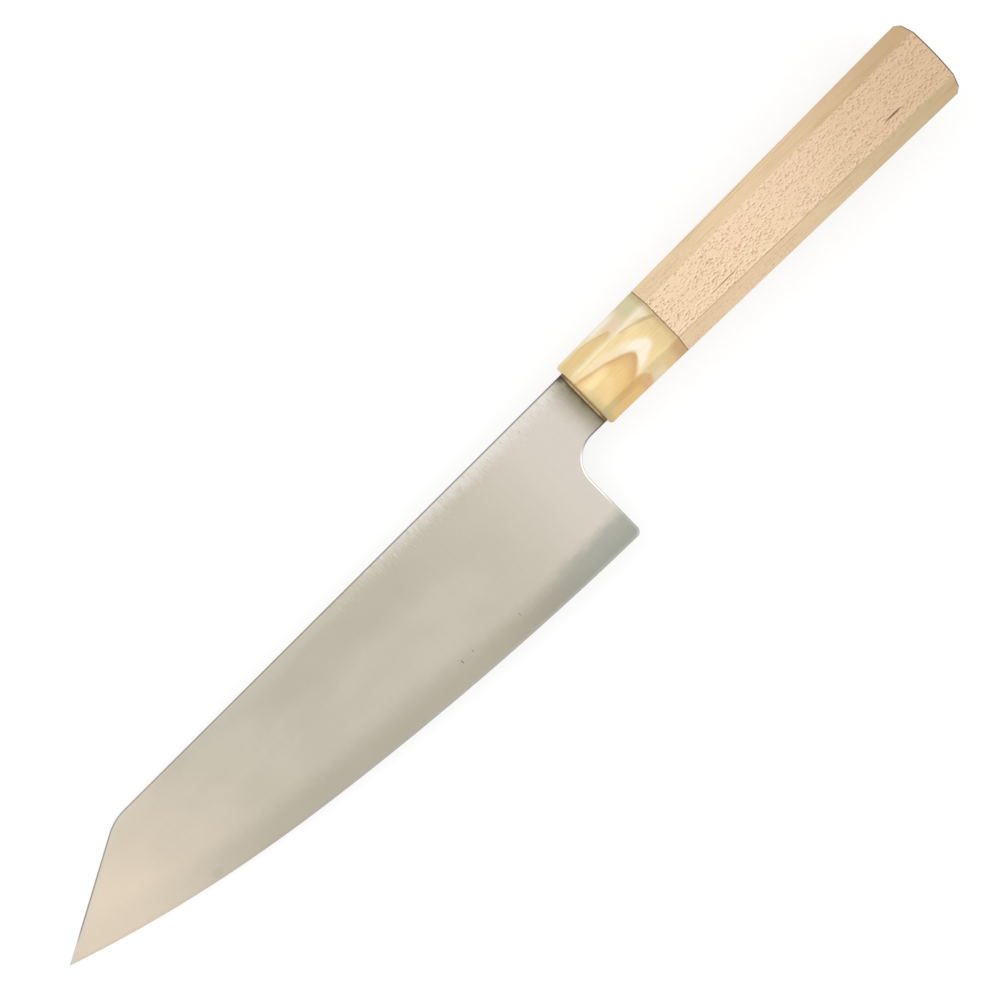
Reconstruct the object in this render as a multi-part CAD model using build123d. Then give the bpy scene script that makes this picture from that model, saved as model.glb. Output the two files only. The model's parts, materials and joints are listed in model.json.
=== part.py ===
from build123d import *
from math import asin, atan2, cos, degrees, hypot, radians, sin, sqrt, tan
import os

# A kiritsuke kitchen knife with an octagonal wooden handle and a horn ferrule, in millimetres.
# The pieces are first made in the knife's own frame: x runs along the handle to the butt from the ferrule's
# front, y runs up to the spine, and the blade's middle plane is z = 0. At the end the whole knife is laid down
# on its side, as it lies on a table: on the lower front edge of the ferrule and on the point of the blade.
# The origin is then under the middle of the knife, on the table, with +X to the butt, +Y to the spine, +Z up.

# Blade outline
blade_length = 210.0  # cutting edge, from the heel to the point
heel_height = 49.2  # spine to edge at the heel
neck_length = 15.4  # heel to the ferrule
neck_height = 18.8
spine_above_axis = 8.95  # at the ferrule
spine_fall_height = 1.15  # how much lower the spine is above the point
point_below_axis = 13.6
clip_angle = 28.2  # the straight cut from the spine down to the point, degrees
point_edge_angle = 18.0  # how steeply the edge rises at the point, degrees
clip_round = 16.5  # radius where the spine turns into that cut
choil_radius = 9.1
heel_round = 2.0
heel_round_sweep = 60.0  # degrees of arc before the heel's corner meets the edge
edge_along_shares = (0.0, 0.2, 0.48, 0.77, 1.0)  # stations along the cutting edge, of blade_length
edge_rise_shares = (0.0, 0.04, 0.2, 0.526, 1.0)  # how far the edge has risen there, of its whole rise

# Blade section
neck_thickness = 2.3
point_thickness = 1.1  # of the spine side, above the point
bevel_width = 12.0  # the wide convex bevel along the edge
bevel_thickness_share = 0.72  # of the spine's thickness, where the wide bevel starts
micro_width = 0.8  # the small cutting bevel
micro_thickness = 0.3
spine_ease = 0.25

# Tang
tang_length = 92.0
tang_height = 9.6
tang_end_height = 5.4
tang_thickness = 1.9
tang_root = 3.0  # how far the tang's stock runs into the neck

# Mouth seal between the neck's shoulder and the ferrule
seal_length = 0.8
seal_overhang = 0.35  # past the neck's sides
bond_gap = 0.4  # adhesive round the tang

# Octagonal handle, ferrule included
handle_length = 137.0
front_height = 22.6
butt_height = 26.4
front_thickness = 17.8
butt_thickness = 21.0
front_facet_width = 12.6  # of the two broad side faces
butt_facet_width = 16.6
dome_radius = 115.0
butt_corner = 1.4  # how far the ends of the two narrow faces are cut back at 45 degrees
handle_ease = 0.5  # of its long edges and of the butt's edges

# Ferrule
ferrule_length = 30.2
ferrule_round = 0.8  # of its long edges and of its front's rim
ferrule_wall = 4.6  # at its front, behind the mouth
glue_thickness = 0.22
glue_recess = 0.12

# Core that joins the ferrule to the handle
core_diameter = 13.0
core_end = 104.0  # from the ferrule's front
bore_gap = 0.1
bore_end_gap = 1.0

overrun = 5.0  # how far a cut runs past what it cuts
long_edge_angle = 10.0  # an edge within this of the handle's axis runs along it, degrees

heel_x = -neck_length
point_x = heel_x - blade_length
heel_edge_y = spine_above_axis - heel_height
edge_rise = -point_below_axis - heel_edge_y
neck_bottom_y = spine_above_axis - neck_height
clip_slope = tan(radians(clip_angle))
point_edge_slope = tan(radians(point_edge_angle))


def spine_at(x):
    """Height of the spine above the handle's axis."""
    return spine_above_axis - spine_fall_height * x / point_x


def spine_thickness_at(x):
    return neck_thickness + (point_thickness - neck_thickness) * x / point_x


def blade_section(x, edge_y):
    """Section across the blade at x: eased spine, flat side, wide convex bevel and small cutting bevel."""
    top = spine_at(x)
    half = spine_thickness_at(x) / 2

    def one_side(up):
        eased = Vector(x, top, up * (half - spine_ease))
        shoulder = Vector(x, top - spine_ease, up * half)
        bevel_top = Vector(x, edge_y + bevel_width, up * half * bevel_thickness_share)
        micro_top = Vector(x, edge_y + micro_width, up * micro_thickness / 2)
        flat = Polyline(eased, shoulder, bevel_top)
        bevel = TangentArc(bevel_top, micro_top, tangent=bevel_top - shoulder)
        return [*flat.edges(), bevel, Line(micro_top, (x, edge_y, 0))]

    back = Line((x, top, spine_ease - half), (x, top, half - spine_ease))
    return make_face(Wire([back, *one_side(1), *one_side(-1)]))


def make_blade_stock():
    """The ground steel before its outline is cut: sections lofted from the ferrule to past the point."""
    stations = [(-seal_length, heel_edge_y)]
    for along, rise in zip(edge_along_shares, edge_rise_shares):
        stations.append((heel_x - blade_length * along, heel_edge_y + edge_rise * rise))
    stations.append((point_x - overrun, -point_below_axis + overrun * point_edge_slope))
    return loft([blade_section(x, edge_y) for x, edge_y in stations])


def make_blade_outline():
    """The outline that cuts the stock: spine, clipped point, open edge side, heel, choil and neck."""
    clip_top_x = (spine_at(point_x) + point_below_axis) / clip_slope + point_x
    past_x = point_x - overrun
    past_y = -point_below_axis - overrun * clip_slope
    low_y = heel_edge_y - overrun
    corner = Vector(heel_x - heel_round, heel_edge_y + heel_round)
    sweep = radians(heel_round_sweep)
    turn = Vector(corner.X + heel_round * cos(sweep), corner.Y - heel_round * sin(sweep))
    out_x = turn.X - (turn.Y - low_y) * tan(sweep)
    choil_start = Vector(heel_x, neck_bottom_y - choil_radius)
    choil_end = Vector(heel_x + choil_radius, neck_bottom_y)
    neck_top_y = spine_at(-seal_length)
    back = FilletPolyline(
        (-seal_length, neck_top_y),
        (clip_top_x, spine_at(clip_top_x)),
        (past_x, past_y),
        radius=clip_round,
    )
    rest = [
        Polyline((past_x, past_y), (past_x, low_y), (out_x, low_y), turn),
        CenterArc(corner, heel_round, -heel_round_sweep, heel_round_sweep),
        Line((heel_x, corner.Y), choil_start),
        RadiusArc(choil_start, choil_end, choil_radius),
        Polyline(choil_end, (-seal_length, neck_bottom_y), (-seal_length, neck_top_y)),
    ]
    return make_face(Wire([e for piece in [back] + rest for e in piece.edges()]))


def tang_prism(gap):
    """The tang's tapering bar, wider all round by a gap."""
    root_x = -seal_length - tang_root
    end_x = tang_length + gap
    half_root = tang_height / 2 + gap
    half_end = tang_end_height / 2 + gap
    face = make_face(
        Polyline((root_x, -half_root), (0, -half_root), (end_x, -half_end), (end_x, half_end), (0, half_root),
                 (root_x, half_root), close=True)
    )
    return extrude(face, tang_thickness / 2 + gap, both=True)


def make_blade():
    outline = extrude(make_blade_outline(), neck_thickness, both=True)
    return (make_blade_stock() & outline) + tang_prism(0)


def slab(x0, x1):
    """Everything between two planes across the knife."""
    wide = 2 * heel_height
    return Pos((x0 + x1) / 2, 0, 0) * Box(x1 - x0, wide, wide)


def octagon(x, height, thickness, facet, inset):
    """Corners of the handle's section at x. The corner facets stand at 45 degrees."""
    half_h = height / 2
    half_t = thickness / 2
    half_f = facet / 2
    drop = half_h - half_f
    shrink = inset * tan(radians(22.5))
    y1, z1 = half_h - inset, half_t - drop - shrink
    y2, z2 = half_f - shrink, half_t - inset
    corners = [(y1, -z1), (y1, z1), (y2, z2), (-y2, z2), (-y1, z1), (-y1, -z1), (-y2, -z2), (y2, -z2)]
    return [Vector(x, y, z) for y, z in corners]


def handle_stock(inset=0.0):
    """The tapering octagon of the whole handle, of flat facets, run a little past both its ends."""
    def ring(x):
        along = x / handle_length
        height = front_height + (butt_height - front_height) * along
        thickness = front_thickness + (butt_thickness - front_thickness) * along
        facet = front_facet_width + (butt_facet_width - front_facet_width) * along
        return octagon(x, height, thickness, facet, inset)

    front, back = ring(-overrun), ring(handle_length + overrun)
    outlines = [front, back]
    for i, corner in enumerate(front):
        outlines.append([front[i - 1], corner, back[i], back[i - 1]])
    return Solid(Shell([make_face(Polyline(o, close=True)) for o in outlines]))


def long_edges(shape):
    """The eight edges that run along the handle."""
    return shape.edges().filter_by(lambda e: abs(e.tangent_at(0.5).X) > cos(radians(long_edge_angle)))


def core_cylinder(x0, x1, radius):
    return Pos((x0 + x1) / 2, 0, 0) * Rot(0, 90, 0) * Cylinder(radius, x1 - x0)


def make_ferrule():
    body = handle_stock() & slab(0, ferrule_length)
    front = body.faces().sort_by(Axis.X)[0].edges()
    body = fillet(long_edges(body) + front, ferrule_round)
    bore = core_cylinder(ferrule_wall, ferrule_length + overrun, core_diameter / 2 + bore_gap)
    return body - bore - tang_prism(bond_gap)


def make_handle_body():
    start = ferrule_length + glue_thickness
    dome = Pos(handle_length - dome_radius, 0, 0) * Sphere(dome_radius)
    dome_edge_x = handle_length - dome_radius + sqrt(dome_radius**2 - (butt_height / 2) ** 2)
    # a wedge that points to the butt and cuts the narrow faces' ends at 45 degrees
    wedge_side = 2 * handle_length
    wedge_point_x = dome_edge_x + butt_height / 2 - butt_corner
    wedge_x = wedge_point_x - wedge_side / sqrt(2)
    wedge = Pos(wedge_x, 0, 0) * Rot(0, 0, 45) * Box(wedge_side, wedge_side, wedge_side)
    body = (handle_stock() & slab(start, handle_length + overrun)) & dome & wedge
    ends = body.faces().filter_by(lambda face: face.center().X > dome_edge_x - butt_corner)
    body = fillet(long_edges(body) + ends.edges(), handle_ease)
    bore = core_cylinder(start - overrun, core_end + bore_end_gap, core_diameter / 2 + bore_gap)
    return body - bore - tang_prism(bond_gap)


def make_glue_line():
    ring = handle_stock(glue_recess) & slab(ferrule_length, ferrule_length + glue_thickness)
    bore = core_cylinder(0, core_end, core_diameter / 2 + bore_gap)
    return ring - bore - tang_prism(bond_gap)


def make_core_half(side):
    """One half of the split dowel, above (side 1) or below (side -1) the blade's middle plane."""
    dowel = core_cylinder(ferrule_wall, core_end, core_diameter / 2)
    half = Pos(core_end / 2, 0, side * core_diameter / 2) * Box(2 * core_end, 2 * core_diameter, core_diameter)
    return (dowel & half) - tang_prism(bond_gap)


def make_tang_bond():
    return (tang_prism(bond_gap) & slab(0, core_end)) - tang_prism(0)


def make_mouth_seal():
    middle_y = spine_above_axis - neck_height / 2
    pad = Pos(-seal_length / 2, middle_y, 0) * Box(seal_length, neck_height, neck_thickness + 2 * seal_overhang)
    return pad - tang_prism(0)


def resting_tilt():
    """How far the knife tips forward until the small bevel at its point touches the table, in degrees."""
    point_reach = micro_width / (clip_slope + point_edge_slope)
    across = ferrule_round - point_x - point_reach
    drop = front_thickness / 2 - ferrule_round - micro_thickness / 2
    return degrees(atan2(drop, across) + asin(ferrule_round / hypot(drop, across)))


pieces = {
    "blade": make_blade(),
    "mouth_seal": make_mouth_seal(),
    "ferrule": make_ferrule(),
    "glue_line": make_glue_line(),
    "handle_body": make_handle_body(),
    "core_half_upper": make_core_half(1),
    "core_half_lower": make_core_half(-1),
    "tang_bond": make_tang_bond(),
}

laid = {name: Rot(0, -resting_tilt(), 0) * piece for name, piece in pieces.items()}
box = Compound(children=[Part(piece.wrapped) for piece in laid.values()]).bounding_box()
to_table = Pos(-(box.min.X + box.max.X) / 2, -(box.min.Y + box.max.Y) / 2, -box.min.Z)

os.makedirs("parts", exist_ok=True)
for name, piece in laid.items():
    export_step(to_table * piece, f"parts/{name}.step")
print("tilt", resting_tilt(), "moved by", to_table.position)
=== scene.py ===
import json
from math import cos, pi, radians, sin, tan

import bmesh
import bpy
import numpy as np
from mathutils import Matrix, Vector


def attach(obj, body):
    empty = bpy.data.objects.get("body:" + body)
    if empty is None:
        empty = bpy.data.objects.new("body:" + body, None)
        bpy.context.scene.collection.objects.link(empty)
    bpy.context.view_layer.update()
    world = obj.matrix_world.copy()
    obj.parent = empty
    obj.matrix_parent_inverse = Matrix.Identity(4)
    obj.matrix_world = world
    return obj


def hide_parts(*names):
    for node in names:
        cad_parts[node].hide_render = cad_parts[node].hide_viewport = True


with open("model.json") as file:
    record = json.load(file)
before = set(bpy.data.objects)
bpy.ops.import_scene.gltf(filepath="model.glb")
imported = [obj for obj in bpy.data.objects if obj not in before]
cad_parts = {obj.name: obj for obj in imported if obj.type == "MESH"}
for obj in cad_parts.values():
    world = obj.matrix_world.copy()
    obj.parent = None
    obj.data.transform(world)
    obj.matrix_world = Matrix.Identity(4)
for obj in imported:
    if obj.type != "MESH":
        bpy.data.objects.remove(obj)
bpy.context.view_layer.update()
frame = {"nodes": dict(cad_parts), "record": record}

# The knife lies on its side on a pale floor. Shapes and patterns are worked out in the knife's own
# frame, in millimetres: x runs along the handle to the butt from the ferrule's front, y to the spine,
# and z out of the blade's upper side. Only the blade is drawn anew here, as a finer mesh of the same
# form, because the steel's pattern follows its edge and rims.
mounts = {m["name"]: m for m in frame["record"]["mounts"]}
MM = 0.001

# Blade outline and section, as in the solids
BLADE_LENGTH = 210.0
HEEL_HEIGHT = 49.2
NECK_LENGTH = 15.4
NECK_HEIGHT = 18.8
SPINE_ABOVE_AXIS = 8.95
SPINE_FALL = 1.15
POINT_BELOW_AXIS = 13.6
CLIP_ANGLE = radians(28.2)
POINT_EDGE_ANGLE = radians(18)
CLIP_ROUND = 16.5
CHOIL_RADIUS = 9.1
HEEL_ROUND = 2.0
HEEL_SWEEP = radians(60)  # of the heel's round, up to where it meets a straight cut
EDGE_ALONG_SHARES = (0.0, 0.2, 0.48, 0.77, 1.0)
EDGE_RISE_SHARES = (0.0, 0.04, 0.2, 0.526, 1.0)
PAST_POINT = 5.0  # how far the edge's curve is worked out beyond the point
NECK_THICKNESS = 2.3
POINT_THICKNESS = 1.1
BEVEL_WIDTH = 12.0
BEVEL_THICKNESS_SHARE = 0.72
MICRO_WIDTH = 0.8  # of the small bevel along the edge
MICRO_THICKNESS = 0.3
SEAL_LENGTH = 0.8
TANG_LENGTH = 92.0
TANG_HEIGHT = 9.6
TANG_END_HEIGHT = 5.4
TANG_THICKNESS = 1.9
HANDLE_LENGTH = 137.0
RIM_EASE = 0.22  # radius of the rounded rims
RIM_EASE_LIMIT = 0.6  # and their largest share of half the thickness

# The blade's mesh
TIP_COLUMNS = (0.2, 0.5, 0.9, 1.4, 2.0, 2.7, 3.5, 4.3)  # distances from the point
BODY_START = 5.2  # from the point
BODY_END = 3.0  # from the heel
BODY_STEP = 0.9
HEEL_COLUMNS = (2.6, 2.2, 1.8, 1.46, 1.2, 1.0, 0.8, 0.6, 0.4, 0.25, 0.12, 0.05, 0.0)  # from the heel
CHOIL_COLUMNS = 18
NECK_COLUMNS = 7
LOW_ROWS = 27
HIGH_ROWS = 25
EASED_ROW = 0.3  # share of the rim's round at its middle row
FULL_HEIGHT = 4.0  # where the outline is lower than this, the small bevel and the rim shrink with it
CUT_SLACK = 0.1  # how far past the heel's straight cut both sides still meet in an edge
SHARP_STEEL = radians(35)

# Handle, as in the solids
FRONT_HEIGHT = 22.6
FRONT_THICKNESS = 17.8
FRONT_FACET = 12.6
BUTT_FACET = 16.6

# Patterns in the materials, in the knife's frame
CORE_DEPTH = 18.4  # of the horn's amber core, from its tip to the ferrule's front
SEAM_START = (19.0, 5.7)  # where the horn's thin seam starts
NECK_SHADE = 10.0  # length of the neck's darker end
SEAL_MIDDLE = SPINE_ABOVE_AXIS - NECK_HEIGHT / 2
FLECK_LIP = (0.12, -0.45, 0.0)  # from a dark fleck's pale rim, its painted highlight, to the fleck
PITH = (HANDLE_LENGTH, -46.0, 38.0)  # the middle of the tree, beyond the handle
WOOD_STREAKS = ((45.8, 56.5, -4.6, 0.16), (113.2, 119.8, -4.4, 0.29))  # from, to, height, half width
BLADE_MARKS = (  # nicks and a stain: x, y, half widths, strength
    (-79.3, -30.6, 0.18, 0.7, 0.85),
    (-74.9, -30.4, 0.15, 0.55, 0.7),
    (-57.6, -32.4, 0.16, 0.5, 0.6),
    (-174.5, -24.6, 2.2, 1.4, 0.09),
)

# Camera, floor and light, in metres
CAMERA_DISTANCE = 0.467
CAMERA_AIM = Vector((-38.39, -4.59, 0))  # in the knife's frame, in millimetres
CAMERA_LEAN = radians(2.159)  # to the spine's side
KNIFE_SLOPE = radians(44.601)  # of the handle in the picture
CAMERA_SENSOR = 36.0
CAMERA_LENS = 57.92
FLOOR_REACH = 3.0
FLOOR_WHITE = 0.3
FLOOR_GLOW = 0.75  # for the camera, glosses and glass alone
WORLD_LIGHT = 0.72  # for all other rays
LAMPS = (  # name, place, size, radiance
    ("overhead", (-0.2, 0.0, 1.2), 1.4, 0.2),
    ("left", (-0.5, 0.9, 0.8), 1.0, 1.37),
    ("right", (0.4, -0.9, 0.8), 1.0, 0.93),
)

HEEL_X = -NECK_LENGTH
POINT_X = HEEL_X - BLADE_LENGTH
HEEL_EDGE_Y = SPINE_ABOVE_AXIS - HEEL_HEIGHT
NECK_BOTTOM_Y = SPINE_ABOVE_AXIS - NECK_HEIGHT
CHOIL_Y = NECK_BOTTOM_Y - CHOIL_RADIUS

along = -Vector(mounts["sheath_way"]["axis"])
across = Vector((0, 1, 0))
outward = along.cross(across)
origin = Vector(mounts["sheath_way"]["pos_m"]) + along * NECK_LENGTH * MM
origin.y = mounts["handle_top_facet"]["pos_m"][1]
KNIFE = Matrix([along, across, outward]).transposed().to_4x4()
KNIFE.translation = origin


# Node helpers


def paint(r, g, b):
    """A colour read as sRGB out of 255, as the shader's linear values."""
    shares = [v / 255 for v in (r, g, b)]
    return [v / 12.92 if v <= 0.04045 else ((v + 0.055) / 1.055) ** 2.4 for v in shares] + [1]


class Nodes:
    """A material's nodes, made by short calls that each give back an output socket."""

    def __init__(self, name):
        self.material = bpy.data.materials.new(name)
        self.material.use_nodes = True
        self.tree = self.material.node_tree
        self.shader = self.tree.nodes["Principled BSDF"]

    def put(self, socket, value):
        if isinstance(value, bpy.types.NodeSocket):
            self.tree.links.new(value, socket)
        else:
            socket.default_value = value

    def add(self, kind, inputs, output=0, **settings):
        node = self.tree.nodes.new("ShaderNode" + kind)
        for key, value in settings.items():
            setattr(node, key, value)
        for key, value in inputs.items():
            self.put(node.inputs[key], value)
        return node.outputs[output]

    def math(self, operation, *values):
        return self.add("Math", dict(enumerate(values)), operation=operation)

    def times(self, *values):
        total = values[0]
        for value in values[1:]:
            total = self.math("MULTIPLY", total, value)
        return total

    def plus(self, *values):
        total = values[0]
        for value in values[1:]:
            total = self.math("ADD", total, value)
        return total

    def fade(self, value, start, end, low=0.0, high=1.0):
        """A smooth step from low at start to high at end."""
        inputs = {"Value": value, "From Min": start, "From Max": end, "To Min": low, "To Max": high}
        return self.add("MapRange", inputs, interpolation_type="SMOOTHSTEP")

    def centred(self, noise):
        """A noise about zero."""
        return self.plus(noise, -0.5)

    def mix(self, share, a, b, blend="MIX"):
        return self.add("Mix", {0: share, 6: a, 7: b}, output=2, data_type="RGBA", blend_type=blend)

    def ramp(self, value, stops, interpolation="EASE"):
        """stops are (place, colour), with the places from 0 to 1."""
        out = self.add("ValToRGB", {"Fac": value})
        ramp = out.node.color_ramp
        ramp.interpolation = interpolation
        while len(ramp.elements) < len(stops):
            ramp.elements.new(1)
        for element, (place, colour) in zip(ramp.elements, stops):
            element.position = place
            element.color = colour
        return out

    def knife_place(self):
        """Where the shading point is in the knife's frame, in millimetres."""
        inputs = {
            "Vector": self.add("TexCoord", {}, "Object"),
            "Location": KNIFE.translation,
            "Rotation": KNIFE.to_euler(),
            "Scale": (MM, MM, MM),
        }
        return self.add("Mapping", inputs, vector_type="TEXTURE")

    def stretched(self, vector, x, y, z, shift=(0, 0, 0)):
        """The place divided by a feature's size along each axis."""
        return self.add("Mapping", {"Vector": vector, "Scale": (1 / x, 1 / y, 1 / z), "Location": shift})

    def split(self, vector):
        """The three parts of a vector."""
        return self.add("SeparateXYZ", {"Vector": vector}).node.outputs

    def noise(self, vector, detail=2.0, roughness=0.5):
        inputs = {"Vector": vector, "Scale": 1.0, "Detail": detail, "Roughness": roughness}
        return self.add("TexNoise", inputs)

    def bump(self, height, depth):
        """Raises the surface by up to this depth, in millimetres."""
        bump = self.add("Bump", {"Height": height, "Distance": depth * MM})
        self.put(self.shader.inputs["Normal"], bump)

    def set(self, **inputs):
        for key, value in inputs.items():
            self.put(self.shader.inputs[key.replace("_", " ")], value)


# Blade


def cubic_through(xs, ys):
    """The natural cubic curve through the points, as a function."""
    xs, ys = np.array(xs, float), np.array(ys, float)
    gaps = np.diff(xs)
    slopes = np.diff(ys) / gaps
    n = len(xs)
    rows = np.eye(n)
    right = np.zeros(n)
    for i in range(1, n - 1):
        rows[i, i - 1 : i + 2] = gaps[i - 1], 2 * (gaps[i - 1] + gaps[i]), gaps[i]
        right[i] = 6 * (slopes[i] - slopes[i - 1])
    bends = np.linalg.solve(rows, right)

    def curve(x):
        i = np.clip(np.searchsorted(xs, x) - 1, 0, n - 2)
        a, b, g = xs[i + 1] - x, x - xs[i], gaps[i]
        cubic = (bends[i] * a**3 + bends[i + 1] * b**3) / (6 * g)
        return cubic + (ys[i] / g - bends[i] * g / 6) * a + (ys[i + 1] / g - bends[i + 1] * g / 6) * b

    return curve


EDGE_RISE = -POINT_BELOW_AXIS - HEEL_EDGE_Y
stations = [(POINT_X - PAST_POINT, -POINT_BELOW_AXIS + PAST_POINT * tan(POINT_EDGE_ANGLE))]
for s, rise in reversed(list(zip(EDGE_ALONG_SHARES, EDGE_RISE_SHARES))):
    stations.append((HEEL_X - BLADE_LENGTH * s, HEEL_EDGE_Y + EDGE_RISE * rise))
stations.append((-SEAL_LENGTH, HEEL_EDGE_Y))
edge_at = cubic_through(*zip(*stations))


def spine_at(x):
    return SPINE_ABOVE_AXIS - SPINE_FALL * x / POINT_X


def top_at(x):
    """The outline's upper side: the spine, the round shoulder and the straight clip down to the point."""
    lean = SPINE_FALL / -POINT_X
    slope = tan(CLIP_ANGLE)
    line = -POINT_BELOW_AXIS + (x - POINT_X) * slope
    # the round's centre lies its radius inside both lines
    spine_drop = CLIP_ROUND * (1 + lean**2) ** 0.5
    clip_drop = CLIP_ROUND / cos(CLIP_ANGLE)
    at_clip = -POINT_BELOW_AXIS - POINT_X * slope - clip_drop
    at_spine = SPINE_ABOVE_AXIS - spine_drop
    centre_x = (at_spine - at_clip) / (slope - lean)
    centre_y = at_spine + lean * centre_x
    first = centre_x - CLIP_ROUND * sin(CLIP_ANGLE)
    last = centre_x - CLIP_ROUND * lean
    arc = centre_y + np.sqrt(np.maximum(CLIP_ROUND**2 - (x - centre_x) ** 2, 0))
    return np.where(x < first, line, np.where(x < last, arc, spine_at(x)))


def low_at(x):
    """The outline's lower side: cutting edge, rounded heel corner, choil and neck."""
    corner_x, corner_y = HEEL_X - HEEL_ROUND, HEEL_EDGE_Y + HEEL_ROUND
    turn_x, turn_y = corner_x + HEEL_ROUND * cos(HEEL_SWEEP), corner_y - HEEL_ROUND * sin(HEEL_SWEEP)
    straight = turn_y + (x - turn_x) / tan(HEEL_SWEEP)
    arc = corner_y - np.sqrt(np.maximum(HEEL_ROUND**2 - (x - corner_x) ** 2, 0))
    corner = np.where(x < turn_x, straight, arc)
    choil = CHOIL_Y + np.sqrt(np.maximum(CHOIL_RADIUS**2 - (x - HEEL_X - CHOIL_RADIUS) ** 2, 0))
    neck = np.where(x < HEEL_X + CHOIL_RADIUS, choil, NECK_BOTTOM_Y)
    return np.where(x <= HEEL_X, np.maximum(edge_at(x), corner), neck)


def half_thickness(x, y):
    """Half the blade's thickness at a place: a flat side, a wide convex bevel and a small one."""
    half = (NECK_THICKNESS + (POINT_THICKNESS - NECK_THICKNESS) * x / POINT_X) / 2
    edge_y, top = edge_at(x), spine_at(x)
    bevel_y, bevel_z = edge_y + BEVEL_WIDTH, half * BEVEL_THICKNESS_SHARE
    micro_y, micro_z = edge_y + MICRO_WIDTH, MICRO_THICKNESS / 2
    run, fall = bevel_y - top, bevel_z - half
    length = np.hypot(run, fall)
    normal_y, normal_z = -fall / length, run / length
    chord_y, chord_z = micro_y - bevel_y, micro_z - bevel_z
    radius = (chord_y**2 + chord_z**2) / (2 * (chord_y * normal_y + chord_z * normal_z))
    centre_y, centre_z = bevel_y + radius * normal_y, bevel_z + radius * normal_z
    arc = centre_z + np.sqrt(np.maximum(radius**2 - (y - centre_y) ** 2, 0))
    flat = half + (y - top) / run * fall
    small = np.maximum(y - edge_y, 0) / MICRO_WIDTH * micro_z
    return np.where(y > bevel_y, flat, np.where(y > micro_y, arc, small))


def rim_distance(x, y):
    """How far a place on the side is from the outline, the cutting edge left out."""
    step = 0.01
    tilt = np.arctan((top_at(x + step) - top_at(x - step)) / (2 * step))
    nearest = (top_at(x) - y) * np.cos(tilt)
    heel = np.where(y < CHOIL_Y, HEEL_X - x, np.inf)
    choil_x = HEEL_X + CHOIL_RADIUS
    choil = np.hypot(x - choil_x, y - CHOIL_Y) - CHOIL_RADIUS
    choil = np.where((x < choil_x) & (y >= CHOIL_Y), choil, np.inf)
    neck = np.where(x >= choil_x, y - NECK_BOTTOM_Y, np.inf)
    corner_x, corner_y = HEEL_X - HEEL_ROUND, HEEL_EDGE_Y + HEEL_ROUND
    corner = HEEL_ROUND - np.hypot(x - corner_x, y - corner_y)
    corner = np.where((x > corner_x) & (y < corner_y), corner, np.inf)
    for other in (heel, choil, neck, corner):
        nearest = np.minimum(nearest, other)
    return np.maximum(nearest, 0)


def blade_columns():
    """Places along the blade where its grid has a column, close together at the point and the heel."""
    tip = POINT_X + np.array(TIP_COLUMNS)
    body = np.arange(POINT_X + BODY_START, HEEL_X - BODY_END, BODY_STEP)
    heel = HEEL_X - np.array(HEEL_COLUMNS)
    choil = HEEL_X + CHOIL_RADIUS * (1 - np.cos(np.linspace(0, pi / 2, CHOIL_COLUMNS + 1)[1:]))
    neck = np.linspace(HEEL_X + CHOIL_RADIUS, -SEAL_LENGTH, NECK_COLUMNS + 1)[1:]
    return np.concatenate([tip, body, heel]), np.concatenate([choil, neck])


def blade_rows():
    """The grid's rows as shares of the height above the small bevel, and which row is the choil's."""
    height = SPINE_ABOVE_AXIS - HEEL_EDGE_Y
    choil_share = (CHOIL_Y - HEEL_EDGE_Y) / height
    low = np.linspace(0, choil_share, LOW_ROWS)
    eased = choil_share + np.array([EASED_ROW, 1.0]) * RIM_EASE / height
    high = np.linspace(eased[-1], 1, HIGH_ROWS)[1:]
    return np.concatenate([low, eased, high]), len(low) - 1


def column_heights(x, past_heel, shares, choil_row):
    """The heights of one column's rows, from the edge, or from the rim below, up to the spine."""
    top, low = float(top_at(x)), float(low_at(x))
    trim = min(1.0, (top - low) / FULL_HEIGHT)
    eased = [top - RIM_EASE * trim, top - EASED_ROW * RIM_EASE * trim, top]
    if past_heel:
        above_choil = (shares[choil_row:] - shares[choil_row]) / (1 - shares[choil_row])
        return list(low + above_choil * (eased[0] - low)) + eased[1:]
    small = MICRO_WIDTH * trim
    start = low + small
    return [low, low + small / 2] + list(start + shares * (eased[0] - start)) + eased[1:]


def blade_vertex(mesh, x, y, z, edge, rim):
    """A vertex that carries its distances from the cutting edge and from the rest of the outline."""
    vert = mesh.verts.new((x * MM, y * MM, z * MM))
    layers = mesh.verts.layers.float
    vert[layers["edge_distance"]] = edge
    vert[layers["rim_distance"]] = rim
    return vert


def side_vertex(mesh, side, x, y):
    """A vertex on the upper side (1) or the lower side (-1), drawn in where the rim is rounded."""
    half, rim = float(half_thickness(x, y)), float(rim_distance(x, y))
    ease = min(RIM_EASE, RIM_EASE_LIMIT * half)
    drop = ease - (ease**2 - (ease - rim) ** 2) ** 0.5 if rim < ease else 0.0
    return blade_vertex(mesh, x, y, side * (half - drop), y - float(edge_at(x)), rim)


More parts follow.
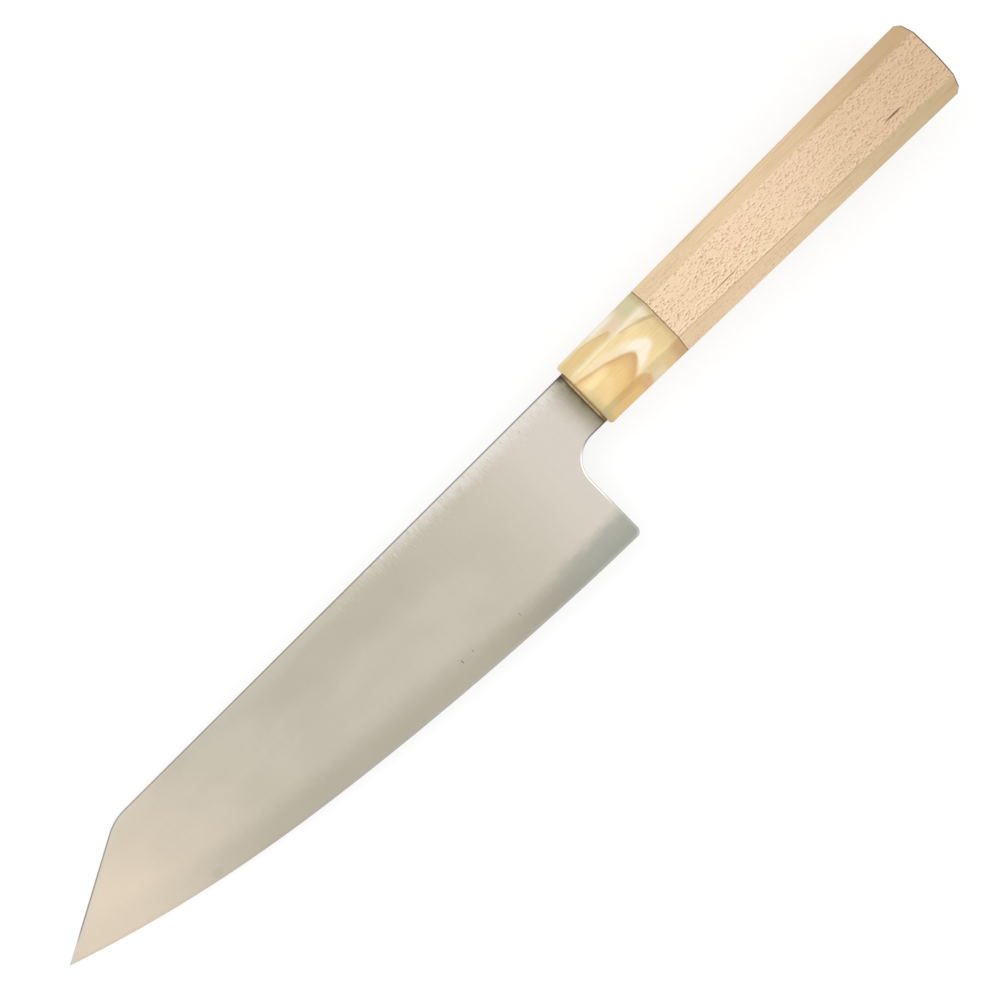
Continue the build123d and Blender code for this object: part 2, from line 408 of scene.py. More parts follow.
def blade_sheets(mesh, xs, heel_column):
    """The vertices of both sides, by column and row, and the row of the choil and the neck's lower rim."""
    shares, choil_row = blade_rows()
    # up to the heel, two more rows lie below, on the small bevel
    choil_level = choil_row + 2
    cut_end = HEEL_X - HEEL_ROUND + HEEL_ROUND * cos(HEEL_SWEEP)
    cut_end -= HEEL_ROUND * (1 - sin(HEEL_SWEEP)) * tan(HEEL_SWEEP)
    sheets = {1: {}, -1: {}}
    for i, x in enumerate(xs):
        past_heel = i > heel_column
        heights = column_heights(x, past_heel, shares, choil_row)
        if i == heel_column:
            heights[choil_level] = CHOIL_Y
        for j, y in enumerate(heights, choil_level if past_heel else 0):
            upper = lower = side_vertex(mesh, 1, x, y)
            if j == 0 and x < cut_end + CUT_SLACK:
                # both sides share the cutting edge
                upper.co.z = 0
            else:
                lower = side_vertex(mesh, -1, x, y)
            sheets[1][i, j], sheets[-1][i, j] = upper, lower
    return sheets, choil_level


def add_tang(mesh, neck_end):
    """The tapered tang, and the shoulder that joins it to the neck's end."""
    rings = []
    for x, height in ((-SEAL_LENGTH, TANG_HEIGHT), (TANG_LENGTH, TANG_END_HEIGHT)):
        ring = []
        for a, b in ((1, 1), (-1, 1), (-1, -1), (1, -1)):
            corner = (x, a * height / 2, b * TANG_THICKNESS / 2)
            ring.append(blade_vertex(mesh, *corner, HEEL_HEIGHT, NECK_HEIGHT))
        rings.append(ring)
    root, tip = rings
    for k in range(4):
        mesh.faces.new([root[k - 1], root[k], tip[k], tip[k - 1]])
    mesh.faces.new(tip)
    loops = []
    for ring in (neck_end, root):
        for a, b in zip(ring, ring[1:] + ring[:1]):
            loops.append(mesh.edges.get((a, b)) or mesh.edges.new((a, b)))
    bmesh.ops.triangle_fill(mesh, use_beauty=True, edges=loops)


def make_blade():
    """The blade with its neck and tang as one closed mesh, nearly all of quads."""
    mesh = bmesh.new()
    mesh.verts.layers.float.new("edge_distance")
    mesh.verts.layers.float.new("rim_distance")
    body_x, neck_x = blade_columns()
    xs = np.concatenate([body_x, neck_x])
    heel_column, end = len(body_x) - 1, len(xs) - 1
    sheets, choil_level = blade_sheets(mesh, xs, heel_column)
    point = blade_vertex(mesh, POINT_X, -POINT_BELOW_AXIS, 0.0, 0.0, 0.0)

    last = max(j for _, j in sheets[1])
    for side, grid in sheets.items():
        for i, j in grid:
            corners = [(i, j), (i + 1, j), (i + 1, j + 1), (i, j + 1)]
            if all(c in grid for c in corners):
                mesh.faces.new([grid[c] for c in corners[::side]])
        for j in range(last):
            mesh.faces.new([point, grid[0, j], grid[0, j + 1]][::side])

    # the walls between both sides: heel, choil and neck below, spine and clip above
    first_wall = next(i for i in range(end) if sheets[1][i, 0] is not sheets[-1][i, 0])
    outline = [(i, 0) for i in range(first_wall - 1, heel_column + 1)]
    outline += [(heel_column, j) for j in range(1, choil_level + 1)]
    outline += [(i, choil_level) for i in range(heel_column + 1, end + 1)]
    back = [(i, last) for i in range(end, -1, -1)]
    for path in (outline, back):
        for a, b in zip(path, path[1:]):
            ring = [sheets[1][a], sheets[-1][a], sheets[-1][b], sheets[1][b]]
            mesh.faces.new(list(dict.fromkeys(ring)))
    mesh.faces.new([sheets[1][back[-1]], sheets[-1][back[-1]], point])

    neck_end = [(end, j) for j in range(choil_level, last + 1)]
    add_tang(mesh, [sheets[1][c] for c in neck_end] + [sheets[-1][c] for c in reversed(neck_end)])
    bmesh.ops.recalc_face_normals(mesh, faces=mesh.faces[:])
    return finish_piece(mesh, "blade_steel", "blade", sharp=SHARP_STEEL)


def finish_piece(mesh, name, node, sharp):
    """Makes the piece from its mesh in the knife's frame, in place of its solid."""
    mesh.transform(KNIFE)
    data = bpy.data.meshes.new(name)
    mesh.to_mesh(data)
    mesh.free()
    data.shade_smooth()
    data.set_sharp_from_angle(angle=sharp)
    piece = bpy.data.objects.new(name, data)
    bpy.context.scene.collection.objects.link(piece)
    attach(piece, "root")
    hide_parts(node)
    return piece


def steel():
    """Satin steel: faint scratches across the blade, a hazy band along the edge that is partly painted
    reflection, painted reflections in broad patches, and painted highlights, dark lines and shade along the
    rims and by the ferrule.
    """
    n = Nodes("satin_steel")
    place = n.knife_place()
    x, y, _ = n.split(place)
    edge = n.add("Attribute", {}, "Fac", attribute_name="edge_distance")
    rim = n.add("Attribute", {}, "Fac", attribute_name="rim_distance")
    below_spine = n.plus(n.times(x, -SPINE_FALL / POINT_X), SPINE_ABOVE_AXIS, n.times(y, -1.0))
    fine = n.noise(n.stretched(place, 0.16, 9.0, 5.0), detail=3.0, roughness=0.65)
    coarse = n.centred(n.noise(n.stretched(place, 0.6, 16.0, 5.0), detail=2.0))
    uneven = n.centred(n.noise(n.stretched(place, 26.0, 14.0, 9.0), detail=3.0))
    blotch = n.centred(n.noise(n.stretched(place, 4.0, 2.5, 5.0), detail=3.0))

    colour = n.mix(n.fade(uneven, -0.2, 0.2), paint(207, 199, 183), paint(202, 194, 178))
    # painted reflections: the steel is lighter towards the neck, and lighter and warmer towards the point
    neck = n.fade(n.plus(x, n.times(uneven, 12.0)), -52.0, -16.0)
    colour = n.mix(neck, colour, paint(222, 214, 202))
    tip = n.fade(n.plus(x, n.times(y, 0.5), n.times(uneven, 24.0)), -140.0, -226.0)
    colour = n.mix(tip, colour, paint(237, 221, 199))
    # painted reflection: a broad darker cloud near the spine, half way along
    cloud = n.times(
        n.fade(n.plus(x, n.times(uneven, 40.0)), -155.0, -110.0),
        n.fade(n.plus(x, n.times(uneven, 40.0)), -50.0, -80.0),
        n.fade(n.plus(y, n.times(uneven, 10.0)), 7.0, 3.0),
        n.fade(n.plus(y, n.times(uneven, 10.0)), -12.0, -2.0),
    )
    colour = n.mix(n.times(cloud, 0.6), colour, paint(190, 183, 167))
    # the silvery strip along the spine, with short scratches across it
    narrower = n.fade(x, -30.0, -95.0, 0.0, 1.8)
    ragged = n.plus(below_spine, n.times(coarse, 4.0), n.times(uneven, 2.0), narrower)
    silver = n.times(n.fade(ragged, 6.0, 0.6), n.fade(x, -100.0, -45.0))
    colour = n.mix(n.times(silver, 0.9), colour, paint(234, 231, 221))
    nicks = n.noise(n.stretched(place, 0.3, 2.2, 5.0), detail=2.0)
    near_spine = n.fade(n.plus(below_spine, n.times(blotch, 8.0)), 8.0, 2.0)
    near_spine = n.times(near_spine, n.fade(x, -120.0, -60.0))
    colour = n.mix(n.times(near_spine, n.fade(nicks, 0.56, 0.7), 0.5), colour, paint(240, 238, 232))
    colour = n.mix(n.times(near_spine, n.fade(nicks, 0.44, 0.3), 0.42), colour, paint(176, 166, 154))
    # the hazy band along the edge, partly a finer polish on the bevel and partly painted reflection of its
    # tilt: dark and even at the heel, fainter and softer towards the tip
    band = n.plus(edge, n.times(uneven, 3.0), n.times(blotch, 2.6), n.times(coarse, 0.8))
    widest = n.plus(n.fade(x, -92.0, -50.0, 13.2, 10.4), n.fade(x, -48.0, -27.0, 0.0, 1.0))
    ends = {"Value": band, "From Min": widest, "From Max": n.fade(x, -50.0, -27.0, 4.0, 6.2)}
    haze_and_painted_reflection = n.plus(
        n.times(n.add("MapRange", ends, interpolation_type="SMOOTHSTEP"), 0.8),
        n.times(n.fade(band, 7.0, 0.5), n.fade(x, -90.0, -50.0), 0.2),
    )
    haze_and_painted_reflection = n.times(haze_and_painted_reflection, n.fade(x, -80.0, -38.0, 0.58, 1.0), n.fade(x, -214.0, -160.0, 0.28, 1.0))
    tint = n.mix(n.fade(x, -62.0, -26.0), paint(169, 163, 146), paint(166, 168, 156))
    tint = n.mix(n.fade(x, -150.0, -195.0), tint, paint(198, 191, 176))
    colour = n.mix(haze_and_painted_reflection, colour, tint)
    wear_and_shade = n.times(n.fade(edge, 1.2, 0.3), n.fade(x, -170.0, -120.0), 0.45)
    colour = n.mix(wear_and_shade, colour, paint(190, 189, 181))
    for mark_x, mark_y, half_x, half_y, depth in BLADE_MARKS:
        across = n.plus(x, -mark_x, n.times(blotch, half_x))
        along = n.plus(y, -mark_y)
        spread = n.plus(n.times(across, across, half_x**-2), n.times(along, along, half_y**-2))
        colour = n.mix(n.times(n.fade(spread, 1.4, 0.3), depth), colour, paint(110, 98, 84))
    scratch = n.plus(n.times(fine, 0.65), n.times(coarse, 0.35), 0.17)
    # the bright room that it mirrors lightens the steel by as much as this darkens it
    tone = n.ramp(scratch, [(0.3, paint(227, 227, 227)), (0.7, paint(231, 231, 231))])
    colour = n.mix(1.0, colour, tone, "MULTIPLY")
    # painted light along the outline: a cool painted shade inside the clip, a thin dark line along the
    # spine and clip, and at the heel and choil a painted highlight on the rounded rim with a thin dark line
    # outside it
    clip = n.fade(x, -170.0, -190.0)
    colour = n.mix(n.times(n.fade(rim, 2.6, 0.3), clip, 0.5), colour, paint(194, 196, 186))
    back = n.times(n.fade(y, -14.0, -9.0), n.fade(x, -221.0, -214.0))
    colour = n.mix(n.times(n.fade(rim, 0.62, 0.28), back, 0.8), colour, paint(112, 108, 99))
    heel = n.times(n.fade(y, -9.5, -13.0), n.fade(x, -60.0, -30.0))
    bright = n.times(n.fade(rim, 0.75, 0.45), n.fade(y, -30.0, -23.0, 0.15, 1.0))
    colour = n.mix(n.times(bright, heel), colour, paint(246, 246, 240))
    colour = n.mix(n.times(n.fade(rim, 0.3, 0.1), heel, 0.6), colour, paint(140, 138, 130))
    # painted shade: the neck darkens towards the ferrule, as in the ferrule's shadow and reflection
    less = n.plus(n.fade(y, -1.0, -5.0, 0.0, -0.6), n.fade(y, 5.0, 8.0, 0.0, -1.0))
    shade = n.ramp(
        n.times(n.plus(x, less, n.times(uneven, 2.0), n.times(blotch, 1.2), NECK_SHADE), 1 / NECK_SHADE),
        [
            (0.0, paint(255, 255, 255)),
            (0.2, paint(248, 247, 246)),
            (0.4, paint(231, 229, 225)),
            (0.6, paint(202, 199, 189)),
            (0.72, paint(186, 182, 168)),
            (0.82, paint(158, 153, 136)),
            (0.87, paint(128, 122, 104)),
        ],
        "LINEAR",
    )
    colour = n.mix(1.0, colour, shade, "MULTIPLY")
    # more painted shade in the corner by the spine, and a dark line of painted shadow where the neck meets
    # the seal
    corner = n.times(n.fade(y, 6.2, 8.6), n.fade(x, -3.4, -1.6))
    colour = n.mix(n.times(corner, 0.7), colour, paint(104, 97, 86))
    colour = n.mix(n.fade(x, -1.35, -1.05), colour, paint(90, 76, 54))
    colour = n.mix(corner, colour, paint(196, 192, 184), "MULTIPLY")
    n.set(Base_Color=colour, Metallic=1.0)
    n.set(Roughness=n.plus(0.3, n.times(scratch, 0.14)))
    n.bump(scratch, 0.002)
    return n.material


def horn():
    """Polished blond horn: tongues of amber and cream, one inside the other, that point to the wood."""
    n = Nodes("marbled_horn")
    place = n.knife_place()
    x, y, z = n.split(place)
    sway = n.centred(n.noise(n.stretched(place, 7.0, 4.5, 6.0), detail=2.0))
    pull = n.centred(n.noise(n.stretched(place, 6.0, 3.5, 6.0, (5, 2, 1)), detail=2.0))
    # the layers lean with depth, so that the other sides show their own cuts through them
    sunk = n.math("MINIMUM", n.plus(z, (FRONT_HEIGHT - FRONT_FACET - FRONT_THICKNESS) / 2), 0.0)
    up = n.plus(y, n.times(sway, 0.8), n.times(sunk, 0.5))
    out = n.plus(x, n.times(pull, 1.4), n.times(sunk, 0.3))

    def tongue(tip_x, tip_y, above, below, soft):
        """How far inside a tongue a place is, and 1 inside it. above and below are (factor, power)."""
        rise = n.plus(up, -tip_y)
        over = n.math("POWER", n.math("MAXIMUM", rise, 0.0), above[1])
        under = n.math("POWER", n.math("MAXIMUM", n.times(rise, -1.0), 0.0), below[1])
        depth = n.plus(n.times(out, -1.0), tip_x, n.times(over, -above[0]), n.times(under, -below[0]))
        soften = n.plus(soft, n.times(n.math("ABSOLUTE", rise), soft * 0.6))
        ends = {"Value": depth, "From Min": n.times(soften, -1.0), "From Max": soften}
        return depth, n.add("MapRange", ends, interpolation_type="SMOOTHSTEP")

    def streak(at, half):
        """1 along a line at this height, and 0 beyond half a width from it."""
        return n.fade(n.math("ABSOLUTE", n.plus(up, -at)), half, half / 6)

    def tint(colour, share, r, g, b):
        return n.mix(share, colour, paint(r, g, b))

    mottle = n.noise(n.stretched(place, 9.0, 3.5, 6.0, (1, 7, 3)), detail=3.0)
    fibre = n.noise(n.stretched(place, 14.0, 0.8, 0.9), detail=3.0)
    honey = [(0.3, paint(237, 210, 149)), (0.5, paint(244, 218, 161)), (0.7, paint(249, 226, 172))]
    colour = n.ramp(mottle, honey)
    light = n.times(streak(6.5, 1.1), n.fade(out, 17.5, 13.0), n.fade(out, 0.0, 4.0), 0.75)
    colour = tint(colour, light, 255, 238, 194)
    green = n.times(streak(5.4, 0.8), n.fade(out, 17.0, 13.0), n.fade(out, 5.0, 9.0), 0.6)
    colour = tint(colour, green, 236, 217, 153)
    # above a thin olive seam: cream, with pinkish and greenish grey towards the wood
    run = n.plus(out, -SEAM_START[0])
    seam = n.plus(up, -SEAM_START[1], n.times(run, 0.1), n.times(run, run, 0.019))
    outer = n.ramp(mottle, [(0.35, paint(246, 231, 200)), (0.6, paint(239, 222, 186))])
    outer = tint(outer, n.times(n.fade(up, 6.8, 7.7), n.fade(out, 14.5, 17.0), 0.9), 241, 218, 182)
    outer = tint(outer, n.times(n.fade(up, 7.0, 8.3), n.fade(out, 21.2, 24.6), 0.95), 220, 211, 166)
    colour = n.mix(n.times(n.fade(seam, -0.4, 0.6), n.fade(out, 14.5, 18.0)), colour, outer)
    off_seam = n.math("ABSOLUTE", seam)
    colour = tint(colour, n.times(n.fade(off_seam, 0.5, 0.05), n.fade(out, 17.5, 20.0), 0.7), 206, 182, 136)
    colour = tint(colour, n.times(n.fade(off_seam, 1.2, 0.2), n.fade(out, 22.5, 27.0), 0.85), 196, 172, 124)
    # below the main tongues: pale grey, then rust towards the wood
    low_grey = n.times(n.fade(up, -5.8, -7.0), n.fade(out, 16.8, 18.2), n.fade(out, 24.0, 21.5))
    grey = n.mix(n.fade(up, -8.6, -10.0), paint(236, 211, 158), paint(242, 222, 186))
    colour = n.mix(n.times(low_grey, 0.9), colour, grey)
    colour = tint(colour, n.times(n.fade(up, -6.2, -7.6), n.fade(out, 21.5, 24.0), 0.8), 235, 199, 138)
    back = n.times(n.fade(out, 22.5, 27.0), n.fade(seam, 0.0, -1.5), n.fade(up, -7.0, -5.0))
    colour = tint(colour, n.times(back, 0.8), 226, 199, 142)
    # the cream tongue
    _, cream = tongue(24.0, -2.0, (0.235, 2.12), (0.72, 1.68), 0.8)
    upper_limb = n.times(n.fade(out, -1.0, 9.0, 0.1, 1.0), n.fade(up, 5.9, 4.9))
    fading = n.mix(n.fade(up, -2.0, -4.5), upper_limb, n.fade(out, 12.5, 15.5))
    pale = n.mix(n.fade(out, 14.5, 19.5), paint(248, 226, 186), paint(254, 242, 217))
    colour = n.mix(n.times(cream, fading), colour, pale)
    # the amber core in it, with a darker rim and a shade round its tip
    depth, core = tongue(18.4, -1.9, (0.445, 2.0), (0.397, 1.6), 0.42)
    halo = n.times(n.fade(depth, -1.8, -0.2), n.fade(up, -2.5, -0.8), n.fade(out, 11.0, 15.0))
    colour = tint(colour, n.times(halo, 0.6), 220, 196, 152)
    heart = n.ramp(
        n.times(depth, 1 / CORE_DEPTH),
        [
            (0.0, paint(206, 166, 108)),
            (0.07, paint(216, 170, 106)),
            (0.17, paint(229, 187, 120)),
            (0.32, paint(238, 200, 132)),
            (0.62, paint(244, 212, 146)),
            (0.85, paint(236, 207, 146)),
        ],
    )
    light = n.times(streak(1.0, 2.3), n.fade(out, 11.5, 7.0), n.fade(out, 0.0, 3.0), 0.85)
    heart = tint(heart, light, 254, 230, 170)
    heart = tint(heart, n.times(n.fade(up, -2.8, -4.8), n.fade(out, 12.0, 14.2), 0.7), 216, 180, 106)
    heart = tint(heart, n.times(n.fade(depth, 3.2, 0.0), n.fade(out, 10.0, 3.0), 0.6), 232, 204, 144)
    colour = n.mix(core, colour, heart)
    # the smaller amber tongues along both edges
    depth, low = tongue(17.8, -9.0, (0.622, 1.807), (0.25, 2.0), 0.6)
    amber = n.mix(n.fade(out, 3.0, 9.0), paint(217, 194, 130), paint(226, 180, 104))
    amber = tint(amber, n.times(n.fade(up, -8.0, -9.6), n.fade(out, 15.0, 12.0), 0.8), 244, 202, 128)
    amber = tint(amber, n.times(n.fade(up, -7.4, -8.6), n.fade(out, 13.2, 15.8), 0.9), 229, 184, 130)
    colour = n.mix(n.times(low, n.fade(up, -5.0, -7.4), 0.95), colour, amber)
    depth, high = tongue(17.5, 8.2, (2.14, 1.6), (0.5, 1.5), 0.5)
    amber = n.mix(n.fade(depth, 0.0, 4.5), paint(228, 190, 130), paint(240, 207, 139))
    colour = n.mix(n.times(high, n.fade(up, 6.4, 8.2), 0.92), colour, amber)
    # the upper rim is paler
    rim = n.times(n.fade(y, 9.5, 10.7), n.fade(out, 9.0, 14.0), n.fade(out, 24.0, 19.0), 0.9)
    colour = tint(colour, rim, 255, 249, 230)
    colour = tint(colour, n.times(n.fade(y, 10.1, 11.3), n.fade(out, 13.0, 9.0), 0.8), 250, 238, 206)
    # darker towards the wood, rusty below, and olive at the front's lower side
    colour = tint(colour, n.times(n.fade(out, 27.4, 30.6), 0.85), 192, 166, 116)
    colour = tint(colour, n.times(n.fade(out, 24.6, 28.4), n.fade(up, -5.2, -8.2), 0.85), 206, 166, 110)
    colour = tint(colour, n.times(n.fade(out, 3.2, 0.0), n.fade(up, 3.0, -6.0, 0.15, 0.9)), 199, 182, 126)
    tone = n.ramp(fibre, [(0.35, paint(252, 250, 246)), (0.65, paint(255, 255, 255))])
    colour = n.mix(1.0, colour, tone, "MULTIPLY")
    n.set(Base_Color=colour)
    n.set(Roughness=n.plus(0.2, n.times(fibre, 0.12)))
    n.set(Coat_Weight=0.3, Coat_Roughness=0.12, IOR=1.54)
    n.bump(n.plus(fibre, n.times(mottle, 1.5)), 0.01)
    return n.material


def beech():
    """Oiled beech: short flecks on the broad faces, with painted highlights on their rims, fine lines on
    the others, rings on the end, and painted shade towards the butt.
    """
    n = Nodes("beech")
    place = n.knife_place()
    x, y, z = n.split(place)
    normal_x, _, normal_z = n.split(n.add("NewGeometry", {}, "Normal"))
    broad = n.fade(n.math("ABSOLUTE", normal_z), 0.8, 0.95)
    upper = n.fade(z, 0.0, 4.0)
    end = n.fade(normal_x, 0.3, 0.7)
    bands = n.noise(n.stretched(place, 150.0, 3.0, 5.0), detail=3.0)
    grain = n.noise(n.stretched(place, 45.0, 0.35, 0.35), detail=3.0, roughness=0.6)
    cloud = n.noise(n.stretched(place, 18.0, 7.0, 7.0), detail=2.0)
    tone = n.plus(n.times(bands, 0.45), n.times(grain, 0.3), n.times(cloud, 0.25))
    pink = [(0.36, paint(236, 205, 167)), (0.5, paint(244, 215, 179)), (0.64, paint(248, 221, 187))]
    plain = n.ramp(tone, pink)
    tawny = [(0.36, paint(227, 196, 152)), (0.5, paint(243, 214, 172)), (0.64, paint(249, 223, 184))]
    sides = n.ramp(tone, tawny)
    lines = n.times(n.fade(grain, 0.43, 0.33), 0.45)
    sides = n.mix(lines, sides, paint(204, 172, 126))
    sides = n.mix(n.fade(bands, 0.48, 0.66, 0.0, 0.4), sides, paint(242, 207, 172))
    plain = n.mix(n.fade(cloud, 0.46, 0.66, 0.0, 0.3), plain, paint(244, 206, 175))
    plain = n.mix(n.fade(cloud, 0.5, 0.34, 0.0, 0.3), plain, paint(240, 216, 170))
    colour = n.mix(broad, sides, plain)

    def flecks(at, length, width, shift, share):
        """Short spindles along the grain, in this share of cells of this size."""
        cells = n.stretched(at, length, width, 5.0, shift)
        cells = n.add("VectorMath", {0: cells, 1: n.times(cloud, 0.6)}, operation="ADD")
        node = n.add("TexVoronoi", {"Vector": cells, "Scale": 1.0}).node
        chance, size, _ = n.split(node.outputs["Color"])
        inner = n.fade(n.plus(node.outputs["Distance"], n.times(size, 0.2)), 0.56, 0.26)
        return n.times(inner, n.fade(chance, share + 0.08, share - 0.08))

    def pits(at):
        """Where the dark flecks are: two sizes, crowded along some lines of the grain."""
        rows = n.noise(n.stretched(at, 9.0, 0.9, 3.0), detail=1.0)
        large = flecks(at, 1.4, 0.52, (0, 0, 0), 0.85)
        small = flecks(at, 1.1, 0.43, (3.3, 1.7, 0.5), 0.6)
        return n.times(n.math("MAXIMUM", large, small), n.fade(rows, 0.34, 0.56, 0.45, 1.0))

    dark = pits(place)
    # painted highlight: each fleck has a paler rim on its upper side, lit like the raised lip of a pit,
    # which the bump raises as well
    light = pits(n.add("VectorMath", {0: place, 1: FLECK_LIP}, operation="ADD"))
    colour = n.mix(n.times(light, broad, 0.68), colour, paint(255, 242, 215))
    stronger = n.fade(x, 52.0, 78.0, 0.76, 0.6)
    colour = n.mix(n.times(dark, broad, stronger), colour, paint(196, 144, 100))
    few = n.times(dark, n.fade(bands, 0.5, 0.62), n.plus(1.0, n.times(broad, -1.0)))
    colour = n.mix(n.times(few, 0.4), colour, paint(200, 160, 120))
    for x0, x1, at, half in WOOD_STREAKS:
        # a pith fleck on the upper face, pointed at both ends
        off = n.times(n.plus(x, -(x0 + x1) / 2), 2 / (x1 - x0))
        thick = n.times(n.plus(1.0, n.times(off, off, -1.0)), half)
        side = n.math("ABSOLUTE", n.plus(y, -at))
        line = n.times(n.fade(n.plus(thick, n.times(side, -1.0)), -0.08, 0.1), upper)
        colour = n.mix(n.times(line, 0.88), colour, paint(132, 86, 56))
    # a thin line just under the lower bend, which follows the widening face
    face = n.plus(FRONT_FACET / 2, n.times(x, (BUTT_FACET - FRONT_FACET) / 2 / HANDLE_LENGTH))
    bend = n.math("ABSOLUTE", n.plus(y, face, 0.15, n.times(n.plus(cloud, -0.5), 0.3)))
    line = n.times(n.fade(bend, 0.26, 0.08), upper, n.fade(x, 118.0, 92.0), 0.4)
    colour = n.mix(line, colour, paint(172, 138, 98))
    # growth rings on the end
    away = n.add("VectorMath", {0: place, 1: PITH}, operation="SUBTRACT")
    flat = n.add("VectorMath", {0: away, 1: (0.0, 1.0, 1.0)}, operation="MULTIPLY")
    radius = n.add("VectorMath", {0: flat}, output=1, operation="LENGTH")
    ring = n.math("SINE", n.plus(n.times(radius, 2.6), n.times(cloud, 3.0)))
    pores = n.noise(n.stretched(place, 5.0, 0.3, 0.3), detail=2.0)
    rings = n.mix(n.fade(ring, -0.6, 1.0), paint(206, 178, 140), paint(186, 156, 118))
    rings = n.mix(n.times(n.fade(pores, 0.5, 0.7), 0.5), rings, paint(160, 128, 92))
    colour = n.mix(end, colour, rings)
    # painted shade with a little handling wear: the wood darkens towards the butt, the chamfers more than
    # the broad faces, the upper chamfers starting further back
    darker = n.mix(n.fade(y, 0.0, -6.0), paint(221, 213, 203), paint(221, 221, 212))
    wear_and_shade = n.mix(broad, darker, paint(230, 223, 216))
    later = n.times(n.fade(y, 0.0, 6.0), n.fade(broad, 1.0, 0.0), 17.0)
    wear_and_shade = n.mix(n.fade(x, n.plus(later, 55.0), 138.0), paint(255, 255, 255), wear_and_shade)
    colour = n.mix(1.0, colour, wear_and_shade, "MULTIPLY")
    # a dark line round the end's rim, darkest there, partly darker end grain and partly painted shade of
    # the rounded rim
    end_rim = n.times(n.fade(normal_x, 0.04, 0.3), n.fade(normal_x, 0.98, 0.9), n.fade(normal_z, 0.15, 0.3))
    colour = n.mix(end_rim, colour, paint(96, 82, 62))
    n.set(Base_Color=colour)
    n.set(Roughness=n.plus(0.52, n.times(grain, 0.16)))
    n.set(IOR=1.45)
    n.bump(n.plus(n.times(grain, 0.4), n.times(dark, broad, -0.8), n.times(light, broad, 0.4)), 0.08)
    return n.material


def seal():
    """Tan sealing strip: a pale face towards the neck and a brown line along the ferrule."""
    n = Nodes("mouth_seal")
    place = n.knife_place()
    x, y, _ = n.split(place)
    grain = n.noise(n.stretched(place, 0.6, 0.8, 0.6), detail=4.0)
    colour = n.ramp(grain, [(0.3, paint(184, 160, 124)), (0.7, paint(212, 190, 154))])
    colour = n.mix(n.fade(n.plus(x, n.times(grain, 0.1)), -0.3, -0.12), colour, paint(150, 122, 82))
    ends = n.fade(n.math("ABSOLUTE", n.plus(y, -SEAL_MIDDLE)), 5.6, 8.4)
    colour = n.mix(n.times(ends, 0.85), colour, paint(104, 87, 56))
    n.set(Base_Color=colour)
    n.set(Roughness=n.plus(0.5, n.times(grain, 0.2)))
    n.bump(grain, 0.02)
    return n.material


def speckled(name, dark, light, sizes, roughness, depth):
    """A plain fibrous or cast stuff: two tones mixed by a noise with these sizes along the axes."""
    n = Nodes(name)
    place = n.knife_place()
    grain = n.noise(n.stretched(place, *sizes), detail=4.0, roughness=0.6)
    n.set(Base_Color=n.ramp(grain, [(0.35, dark), (0.65, light)]))
    n.set(Roughness=n.plus(roughness, n.times(grain, 0.15)))
    n.bump(grain, depth)
    return n.material


def give(node, material):
    """Puts a material on the whole of a solid."""
    slots = frame["nodes"][node].data.materials
    for i in range(len(slots)):
        slots[i] = material


# Scene


def make_camera():
    """The photograph's view: from above, a little to the spine's side, with the handle up to the right."""
    data = bpy.data.cameras.new("camera")
    data.lens, data.sensor_width = CAMERA_LENS, CAMERA_SENSOR
    camera = bpy.data.objects.new("camera", data)
    bpy.context.scene.collection.objects.link(camera)
    back = Vector((0, sin(CAMERA_LEAN), cos(CAMERA_LEAN)))
    level = Vector((1, 0, 0))
    side = back.cross(level)
    right = level * cos(KNIFE_SLOPE) - side * sin(KNIFE_SLOPE)
    up = level * sin(KNIFE_SLOPE) + side * cos(KNIFE_SLOPE)
    place = Matrix([right, up, back]).transposed().to_4x4()
    place.translation = KNIFE @ (CAMERA_AIM * MM) + back * CAMERA_DISTANCE
    camera.matrix_world = place
    bpy.context.scene.camera = camera


def camera_share(tree):
    """1 for rays that come from the camera, a gloss or a glass, and 0 for the others."""
    path = tree.nodes.new("ShaderNodeLightPath")
    share = path.outputs["Is Camera Ray"]
    for name in ("Is Glossy Ray", "Is Transmission Ray"):
        node = tree.nodes.new("ShaderNodeMath")
        node.operation = "MAXIMUM"
        tree.links.new(share, node.inputs[0])
        tree.links.new(path.outputs[name], node.inputs[1])
        share = node.outputs[0]
    return share


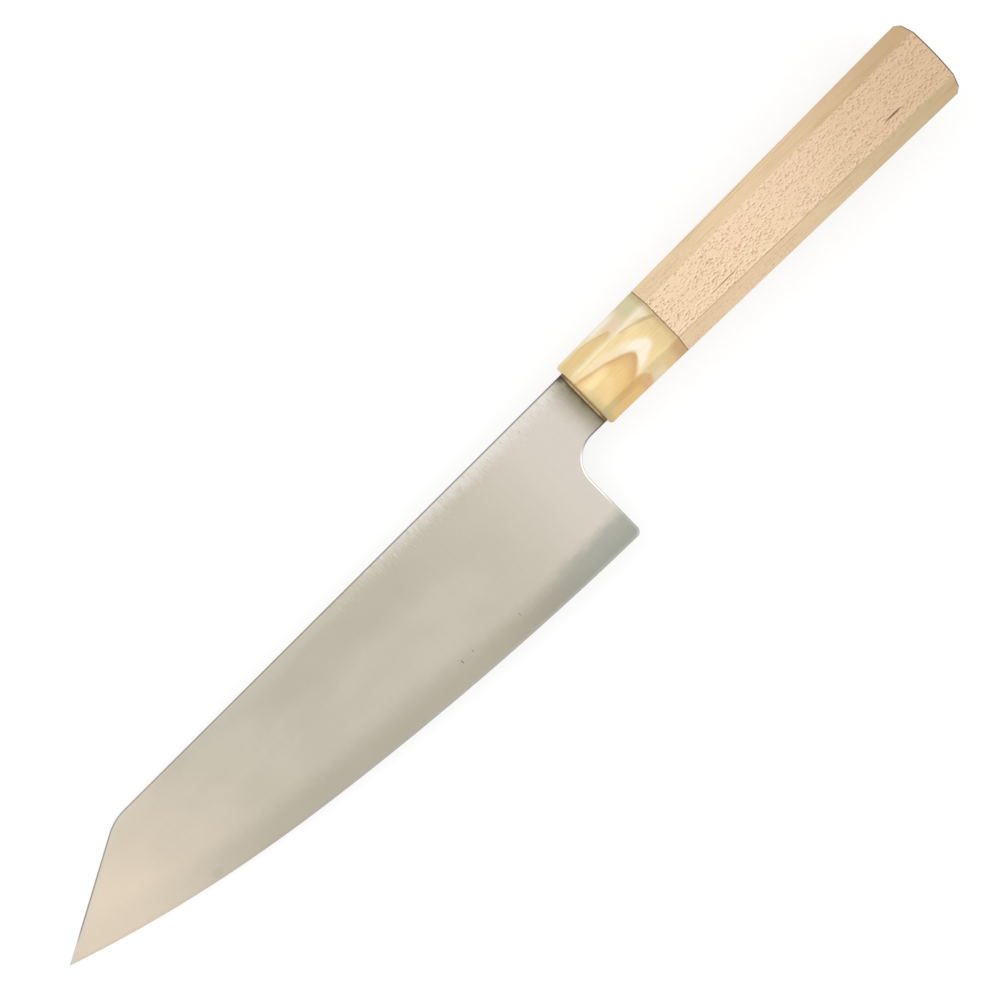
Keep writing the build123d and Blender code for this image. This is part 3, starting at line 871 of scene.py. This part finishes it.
def make_floor():
    """A pale floor that keeps the knife's soft shadow, with a little light of its own for the camera."""
    mesh = bpy.data.meshes.new("floor")
    far = FLOOR_REACH
    corners = [(-far, -far, 0), (far, -far, 0), (far, far, 0), (-far, far, 0)]
    mesh.from_pydata(corners, [], [(0, 1, 2, 3)])
    floor = bpy.data.objects.new("floor", mesh)
    bpy.context.scene.collection.objects.link(floor)
    n = Nodes("pale_floor")
    n.set(Base_Color=(FLOOR_WHITE, FLOOR_WHITE, FLOOR_WHITE, 1), Roughness=0.9, Specular_IOR_Level=0.0)
    n.set(Emission_Color=(1, 1, 1, 1))
    n.put(n.shader.inputs["Emission Strength"], n.times(camera_share(n.tree), FLOOR_GLOW))
    mesh.materials.append(n.material)


def make_lights():
    """An even white room with large soft lamps: one overhead and one on each side."""
    world = bpy.data.worlds.new("studio")
    bpy.context.scene.world = world
    world.use_nodes = True
    tree = world.node_tree
    background = tree.nodes["Background"]
    background.inputs["Color"].default_value = (1, 1, 1, 1)
    mix = tree.nodes.new("ShaderNodeMix")
    mix.inputs[2].default_value = WORLD_LIGHT
    mix.inputs[3].default_value = 1.0
    tree.links.new(camera_share(tree), mix.inputs[0])
    tree.links.new(mix.outputs[0], background.inputs["Strength"])
    for name, place, size, radiance in LAMPS:
        data = bpy.data.lights.new(name, "AREA")
        data.shape, data.size = "SQUARE", size
        # an area lamp's radiance is its power over pi and its area, for each colour
        data.energy = radiance * pi * size**2
        lamp = bpy.data.objects.new(name, data)
        lamp.location = place
        lamp.rotation_euler = Vector(place).to_track_quat("Z", "Y").to_euler()
        bpy.context.scene.collection.objects.link(lamp)


make_camera()
blade = make_blade()
blade.data.materials.append(steel())
give("ferrule", horn())
give("handle_body", beech())
give("mouth_seal", seal())
glue = speckled(
    "glue_line", paint(92, 66, 44), paint(140, 108, 76), (2.0, 0.8, 0.8), roughness=0.5, depth=0.02
)
give("glue_line", glue)
core = speckled(
    "core_wood", paint(206, 184, 146), paint(226, 207, 172), (26.0, 0.5, 0.5), roughness=0.62, depth=0.04
)
give("core_half_upper", core)
give("core_half_lower", core)
bond = speckled(
    "tang_bond", paint(128, 96, 52), paint(176, 140, 84), (5.0, 2.0, 2.0), roughness=0.3, depth=0.02
)
give("tang_bond", bond)
make_floor()
make_lights()
bpy.context.scene.view_settings.view_transform = "Standard"
